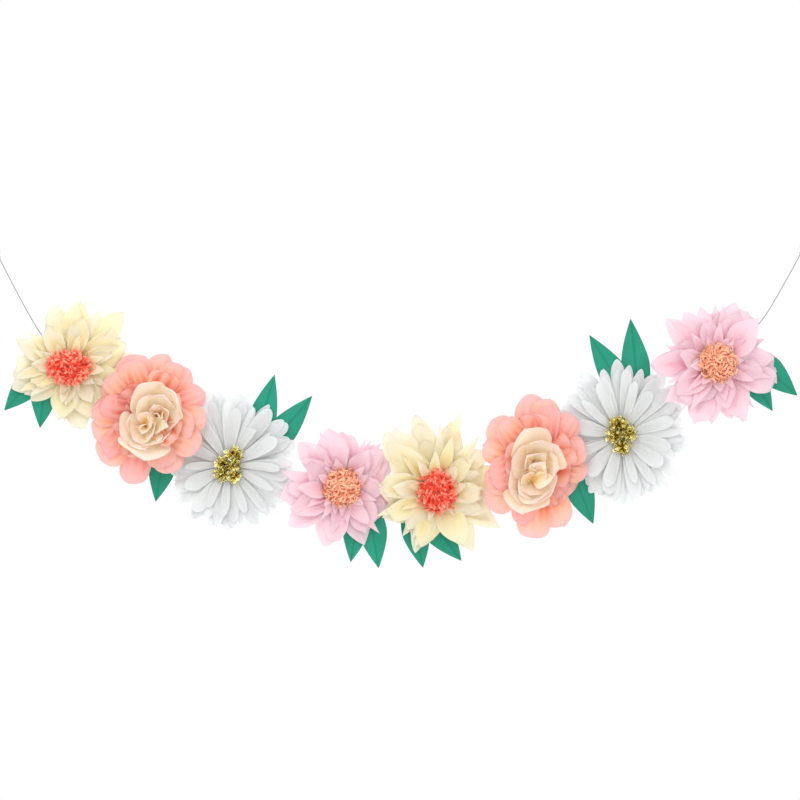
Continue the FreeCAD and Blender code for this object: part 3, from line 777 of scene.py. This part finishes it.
def ribbon(sheets, foot, direction, side, length, width, curl, rng, rows, columns=3, crinkle=0.0):
    """A narrow strip that starts in one direction and curls over by this many radians."""
    u = np.linspace(0, 1, rows)
    bend = curl * u ** 2
    face = np.cross(direction, side)
    step = length / (rows - 1)
    heading = direction * np.cos(bend)[:, None] + face * np.sin(bend)[:, None]
    line = foot + np.concatenate([[np.zeros(3)], np.cumsum(heading[:-1] * step, axis=0)])
    spin = rng.uniform(-1.2, 1.2) * u
    flat = side * np.cos(spin)[:, None] + np.cross(heading, side) * np.sin(spin)[:, None]
    up = np.cross(heading, flat)
    t = np.linspace(-1, 1, columns)
    half = width / 2 * (0.55 + 0.45 * u)
    bowl = 0.12 * half[:, None] * (t[None, :] ** 2)
    if crinkle:
        bowl = bowl + rng.normal(0, crinkle, (rows, columns))
    points = (line[:, None] + flat[:, None] * (half[:, None] * t[None, :])[..., None]
              + up[:, None] * bowl[..., None])
    shade = rng.uniform(0, 1)
    # Painted shade at each strip's root, where the strips crowd: the fold colour, fading outwards
    painted_root_shade = np.clip(1 - 1.6 * u, 0, 1)[:, None]
    sheets.add(points, stacked(u[:, None], painted_root_shade, shade),
               stacked(half[:, None] * t[None, :], (u * length)[:, None], shade * 40))


def over_dome(number, total, widest, rng):
    """Evenly spread directions over a dome that faces forward, slightly disturbed."""
    polar = math.acos(1 - (1 - math.cos(widest)) * (number + 0.5) / total) + rng.normal(0, 0.07)
    azimuth = number * math.pi * (3 - math.sqrt(5)) + rng.normal(0, 0.1)
    return np.array([math.sin(polar) * math.cos(azimuth), -math.cos(polar),
                     math.sin(polar) * math.sin(azimuth)])


def square_to(direction, rng):
    """A random unit vector square to the direction."""
    other = rng.normal(0, 1, 3)
    other -= direction * (other @ direction)
    return other / np.linalg.norm(other)


# How a fringed middle is cut. heart: the size of its wad. strips: how many stand on it. width: of
# each. curl: in radians, least and most. stray: how much they lean from the dome's spokes. start,
# lengths: where they start and how long they are. Heart, start and lengths are shares of the radius.
SHREDS = dict(heart=0.84, strips=300, width=4.8 * MM, curl=(-0.6, 0.6), stray=2.0, start=0.95,
              lengths=(0.3, 0.5))
CURLS = dict(heart=0.72, strips=420, width=3.6 * MM, curl=(2.6, 5.2), stray=0.15, start=0.45,
             lengths=(0.65, 0.95))
POM_RISE = 14 * MM  # from the back of the core to the dome's centre
POM_SWELL = 1.12  # of the dome, on the CAD middle's width
POM_SPREAD = math.radians(96)  # of its strips' feet, from the front
HEART_SPREAD = math.radians(100)  # of its wad


def heart_of_pom(sheets, middle, reach, spread, rng):
    """The crumpled wad that the strips stand on."""
    polar = np.linspace(0, HEART_SPREAD, 24)[:, None]
    azimuth = np.linspace(0, 2 * math.pi, 60, endpoint=False)[None, :]
    dents = np.sin(9 * azimuth + 7 * polar) + np.sin(13 * azimuth - 11 * polar)
    crumple = 1 + 0.07 * np.sin(polar) * dents
    crumple = crumple + rng.normal(0, 0.02, crumple.shape)
    away = reach * crumple
    surface = middle + stacked(away * np.sin(polar) * np.cos(azimuth) * spread[0],
                               -away * np.cos(polar),
                               away * np.sin(polar) * np.sin(azimuth) * spread[1])
    # The wad takes part of the fold colour, painted shade beneath the strips.
    sheets.add(surface, stacked(0.4, 0.3, 0.3), stacked(away * azimuth, away * polar, 0.0), closed=True)


def pom(flower, material, fringe, spread, seed):
    """A dome of narrow strips, spread to this share of its width and of its height."""
    node = FLOWERS[flower][0] + "_fringed_centre"
    low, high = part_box(node)
    reach = POM_SWELL * 0.5 * (high.x - low.x)
    middle = np.array([CENTRES[flower][0], high.y - POM_RISE, CENTRES[flower][1]])
    rng = np.random.default_rng(seed)
    sheets = Sheets()
    heart_of_pom(sheets, middle, reach * fringe["heart"], spread, rng)
    for i in range(fringe["strips"]):
        spoke = over_dome(i, fringe["strips"], POM_SPREAD, rng)
        start = fringe["start"] * rng.uniform(0.75, 1.05)
        foot = middle + spoke * reach * start * [spread[0], 1, spread[1]]
        direction = spoke + fringe["stray"] * square_to(spoke, rng)
        direction /= np.linalg.norm(direction)
        side = square_to(direction, rng)
        length = reach * rng.uniform(*fringe["lengths"])
        width = fringe["width"] * rng.uniform(0.65, 1.2)
        ribbon(sheets, foot, direction, side, length, width, rng.uniform(*fringe["curl"]), rng, rows=11)
    sheets.piece(node + "_paper", material, node)


# Tufts of the foil middles: how far to the right and up of the flower's centre, and their radius
LEFT_TUFTS = [(11, 18, 20), (-9, 1, 19), (-12, -18, 17), (11, -19, 18), (11, 0, 16)]
RIGHT_TUFTS = [(-6, 20, 20), (14, 4, 18), (-13, -1, 19), (1, -20, 20), (6, 12, 15)]
TUFT_STRIPS = 46
TUFT_SPREAD = math.radians(98)
TUFT_RISE = 8 * MM  # of their centres from the back of the core
FOIL_WIDTH = 7 * MM
FOIL_CRINKLE = 0.6 * MM


def foil_tufts(flower, tufts, seed):
    """Clustered tufts of crumpled foil."""
    node = FLOWERS[flower][0] + "_foil_centre"
    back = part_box(node)[1].y
    rng = np.random.default_rng(seed)
    sheets = Sheets()
    for x, z, radius in tufts:
        foot = np.array([CENTRES[flower][0] + x * MM, back - TUFT_RISE, CENTRES[flower][1] + z * MM])
        for i in range(TUFT_STRIPS):
            direction = over_dome(i, TUFT_STRIPS, TUFT_SPREAD, rng)
            side = square_to(direction, rng)
            length = radius * MM * rng.uniform(0.75, 1.1)
            width = FOIL_WIDTH * rng.uniform(0.7, 1.3)
            ribbon(sheets, foot, direction, side, length, width, rng.uniform(-1.6, 1.6), rng, rows=8,
                   columns=5, crinkle=FOIL_CRINKLE)
    sheets.piece(node + "_film", GOLD_FOIL, node)


# Each bud's two heads: (where the head's foot is, petals), the foot as mm to the right and up of the
# flower's centre. Each petal: heading in degrees, length and width in mm, tilt in degrees, and cut.
LEFT_BUD = [
    ((-4, -22), [
        (262, 72, 108, 24, CUP), (205, 56, 84, 30, CUP), (325, 56, 84, 32, CUP), (165, 46, 64, 36, CUP),
        (275, 54, 80, 34, CUP), (225, 44, 60, 42, CUP), (310, 40, 52, 50, CUP), (5, 62, 42, 34, CURLED),
        (60, 40, 44, 50, CURLED), (250, 30, 30, 66, CURLED), (140, 28, 26, 72, CURLED),
    ]),
    ((20, -4), [
        (122, 84, 84, 26, CUP), (52, 76, 90, 32, CUP), (350, 54, 72, 36, CUP), (140, 60, 60, 38, CUP),
        (70, 58, 62, 38, CUP), (100, 46, 44, 52, CURLED), (30, 44, 36, 52, CURLED),
        (190, 34, 34, 58, CURLED), (330, 30, 30, 66, CURLED), (80, 26, 24, 76, CURLED),
    ]),
]
RIGHT_BUD = [
    ((-14, -34), [
        (255, 72, 104, 26, CUP), (200, 60, 84, 32, CUP), (318, 56, 84, 32, CUP), (285, 52, 72, 36, CUP),
        (225, 46, 60, 42, CUP), (275, 42, 60, 46, CUP), (20, 60, 42, 36, CURLED),
        (150, 42, 40, 50, CURLED), (62, 60, 40, 40, CURLED),
    ]),
    ((-6, -2), [
        (110, 80, 90, 28, CUP), (45, 68, 84, 34, CUP), (170, 62, 76, 34, CUP), (350, 54, 70, 36, CUP),
        (85, 58, 62, 38, CUP), (140, 46, 46, 50, CURLED), (40, 44, 38, 54, CURLED),
        (210, 34, 34, 60, CURLED), (320, 30, 30, 66, CURLED), (90, 26, 24, 76, CURLED),
    ]),
]
BUD_ROOT_R = 0.6 * MM
BUD_RISE = 22 * MM  # of the first petal's root from the back of the core
BUD_STEP = 0.8 * MM  # from one petal's root to the next
BUD_SHARING = 2  # petals that share the circle at the root


def bud(flower, heads, seed):
    """Cupped petals that close round each other in two heads."""
    node = FLOWERS[flower][0] + "_cupped_bud"
    base = -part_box(node)[1].y + BUD_RISE
    rng = np.random.default_rng(seed)
    sheets = Sheets()
    for foot, petals in heads:
        centre = CENTRES[flower] + np.array(foot) * MM
        for order, (angle, length, width, tilt, cut) in enumerate(petals):
            petal(sheets, centre, base + BUD_STEP * order, angle, length * MM, width * MM, tilt,
                  BUD_SHARING, cut, rng, root=BUD_ROOT_R)
    sheets.piece(node + "_paper", BUD_TISSUE, node)


for flower_number, flower in enumerate(FLOWERS):
    for sheet_number in range(len(flower[1])):
        petal_sheet(flower_number, sheet_number)

pom(0, CORAL_FRINGE, SHREDS, (1.0, 0.72), 500)
pom(3, ORANGE_FRINGE, CURLS, (1.0, 1.0), 503)
pom(4, CORAL_FRINGE, SHREDS, (0.86, 0.97), 504)
pom(7, ORANGE_FRINGE, CURLS, (1.0, 1.0), 507)
foil_tufts(2, LEFT_TUFTS, 602)
foil_tufts(6, RIGHT_TUFTS, 606)
bud(1, LEFT_BUD, 701)
bud(5, RIGHT_BUD, 705)

# ---------------- leaves

DISC_R = 62 * MM
LEAF_WIDTH = 54 * MM
LEAF_CARD = 0.5 * MM
LEAF_PEAK = 0.5  # where it is widest, as a share of its length
LEAF_TAPER = 0.76  # of its width lost from there to its root
LEAF_FOLD_FROM = 0.5  # where its edges start to fall back, at the earliest
LEAF_FOLD_OVER = 0.3  # the share of its length over which they do
LEAF_DROOP = (7 * MM, 9 * MM)  # how far they fall, least and most
LEAF_CREASE = 0.3 * MM  # and how far they are back before that
LEAF_SWEEP = 0.8 * MM  # bend of its middle
LEAF_BASE = 3 * MM  # the length of its end that is its root
FOLD_ROUND = 0.0008  # how round the fold is, 0 for a knife edge

# The flower that each leaf is glued to
LEAF_FLOWERS = [0, 0, 1, 2, 2, 3, 3, 4, 4, 5, 6, 6, 7, 7]


def leaf(number, flower):
    """A card leaf with a fold along its middle, level until it is past the flower's disc."""
    node = "leaf_%d" % number
    points = corners(node)
    centre = np.array([CENTRES[flower][0], points[:, 1].mean(), CENTRES[flower][1]])
    tip = points[np.linalg.norm(points - centre, axis=1).argmax()]
    far = np.linalg.norm(points - tip, axis=1)
    root = points[far > far.max() - LEAF_BASE].mean(axis=0)
    length = np.linalg.norm(tip - root)
    along = (tip - root) / length
    across = np.cross(along, np.array([0, 1.0, 0]))
    across /= np.linalg.norm(across)
    forward = np.cross(across, along)
    forward = forward if forward[1] < 0 else -forward
    rng = np.random.default_rng(800 + number)
    s = towards_tip(40, 1.3)
    t = np.linspace(-1, 1, 25)[None, :]
    past = np.abs(s - LEAF_PEAK) / np.where(s > LEAF_PEAK, 1 - LEAF_PEAK, LEAF_PEAK)
    half = LEAF_WIDTH / 2 * np.where(s > LEAF_PEAK, 1 - past ** 1.5, 1 - LEAF_TAPER * past ** 2)
    flat = root + along * (s * length)[..., None] + across * (t * half)[..., None]
    off_axis = np.hypot(flat[..., 0] - centre[0], flat[..., 2] - centre[2]).min(axis=1)
    level_to = s[np.argmax(off_axis > DISC_R), 0]
    free = np.clip((s - max(LEAF_FOLD_FROM, level_to)) / LEAF_FOLD_OVER, 0, 1)
    droop = LEAF_CREASE + rng.uniform(*LEAF_DROOP) * free
    folded = -droop * (half / (LEAF_WIDTH / 2)) * np.sqrt(t ** 2 + FOLD_ROUND)
    sweep = rng.uniform(-1, 1) * LEAF_SWEEP * free * np.sin(math.pi * s)
    surface = flat + forward * (folded + sweep)[..., None]
    lean = np.clip((s - level_to) / (1 - level_to), 0, 1) - s
    surface[..., 1] += (tip[1] - root[1]) * lean
    sheets = Sheets()
    sheets.add(surface, place=stacked(t * half, s * length, number))
    thickened(sheets.piece(node + "_card", GREEN_CARD, node), LEAF_CARD)


for leaf_number, flower_number in enumerate(LEAF_FLOWERS, start=1):
    leaf(leaf_number, flower_number)

# ---------------- discs and tabs

DISC_CARD = 0.8 * MM
DISC_WARP = 0.25 * MM  # at its rim


def backing_discs():
    """The round card behind each flower."""
    points = corners("backing_discs")
    sheets = Sheets()
    for number, centre in enumerate(CENTRES):
        own = points[np.hypot(points[:, 0] - centre[0], points[:, 2] - centre[1]) < DISC_R + MM]
        depth = (own[:, 1].max() + own[:, 1].min()) / 2
        rng = np.random.default_rng(900 + number)
        out = DISC_R * np.linspace(0, 1, 9)[:, None]
        around = np.linspace(0, 2 * math.pi, 72, endpoint=False)[None, :]
        warp = DISC_WARP * (out / DISC_R) ** 2 * np.sin(2 * around + rng.uniform(0, 6))
        surface = stacked(centre[0] + out * np.cos(around), depth + warp, centre[1] + out * np.sin(around))
        sheets.add(surface, closed=True)
    thickened(sheets.piece("backing_discs_card", BACKING_CARD, "backing_discs"), DISC_CARD)


backing_discs()

# The tabs are flat paper, so their CAD solids are shown
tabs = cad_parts["string_tabs"]
tabs.data.materials.clear()
tabs.data.materials.append(TAB_PAPER)

# ---------------- light and floor

FLOOR_Z = -1.2
FLOOR_CORNERS = [(-4.0, -5.0), (5.5, -5.0), (5.5, 1.0), (-4.0, 1.0)]
AMBIENT = 0.98  # the world's strength as light. Where it is seen, it is white


def lamp(name, location, target, size, power):
    """A square area lamp that points at the target."""
    light = bpy.data.lights.new(name, "AREA")
    light.size = size
    light.energy = power
    holder = bpy.data.objects.new(name, light)
    holder.location = location
    holder.rotation_euler = (Vector(target) - Vector(location)).to_track_quat("-Z", "Y").to_euler()
    bpy.context.scene.collection.objects.link(holder)


middle_of_garland = (VIEW_CENTRE[0], 0.0, VIEW_CENTRE[1])
lamp("key", (-0.2, -2.4, 1.7), middle_of_garland, 1.8, 28.0)
lamp("fill", (2.0, -3.0, -0.6), middle_of_garland, 2.0, 11.0)
lamp("behind", (1.0, 1.8, 1.6), middle_of_garland, 2.0, 24.0)

world = bpy.data.worlds.new("studio")
bpy.context.scene.world = world
world.use_nodes = True
sky = world.node_tree
sky.nodes.clear()
rays = added(sky, "ShaderNodeLightPath").outputs
seen = rays["Is Camera Ray"]
for ray in ("Is Glossy Ray", "Is Transmission Ray"):
    seen = added(sky, "ShaderNodeMath", {0: seen, 1: rays[ray]}, operation="MAXIMUM").outputs[0]
strength = added(sky, "ShaderNodeMapRange", {"Value": seen, "To Min": AMBIENT, "To Max": 1.0})
white = added(sky, "ShaderNodeBackground",
              {"Color": (1, 1, 1, 1), "Strength": strength.outputs["Result"]})
added(sky, "ShaderNodeOutputWorld", {"Surface": white.outputs[0]})


def pale_floor():
    """A white floor below the garland, which keeps its shadow."""
    finish = Finish("pale_floor")
    fibres = finish.noise(finish.object_place(), 40.0, 2.0)
    colour = finish.mix(finish.range(fibres, 0.3, 0.7), srgb(247, 247, 246), srgb(249, 249, 248))
    matt = finish.add("ShaderNodeBsdfDiffuse", {"Color": colour})
    mesh = bpy.data.meshes.new("floor")
    mesh.from_pydata([(x, y, FLOOR_Z) for x, y in FLOOR_CORNERS], [], [(0, 1, 2, 3)])
    mesh.materials.append(finish.surface(matt.outputs[0]))
    floor = bpy.data.objects.new("floor", mesh)
    bpy.context.scene.collection.objects.link(floor)


pale_floor()
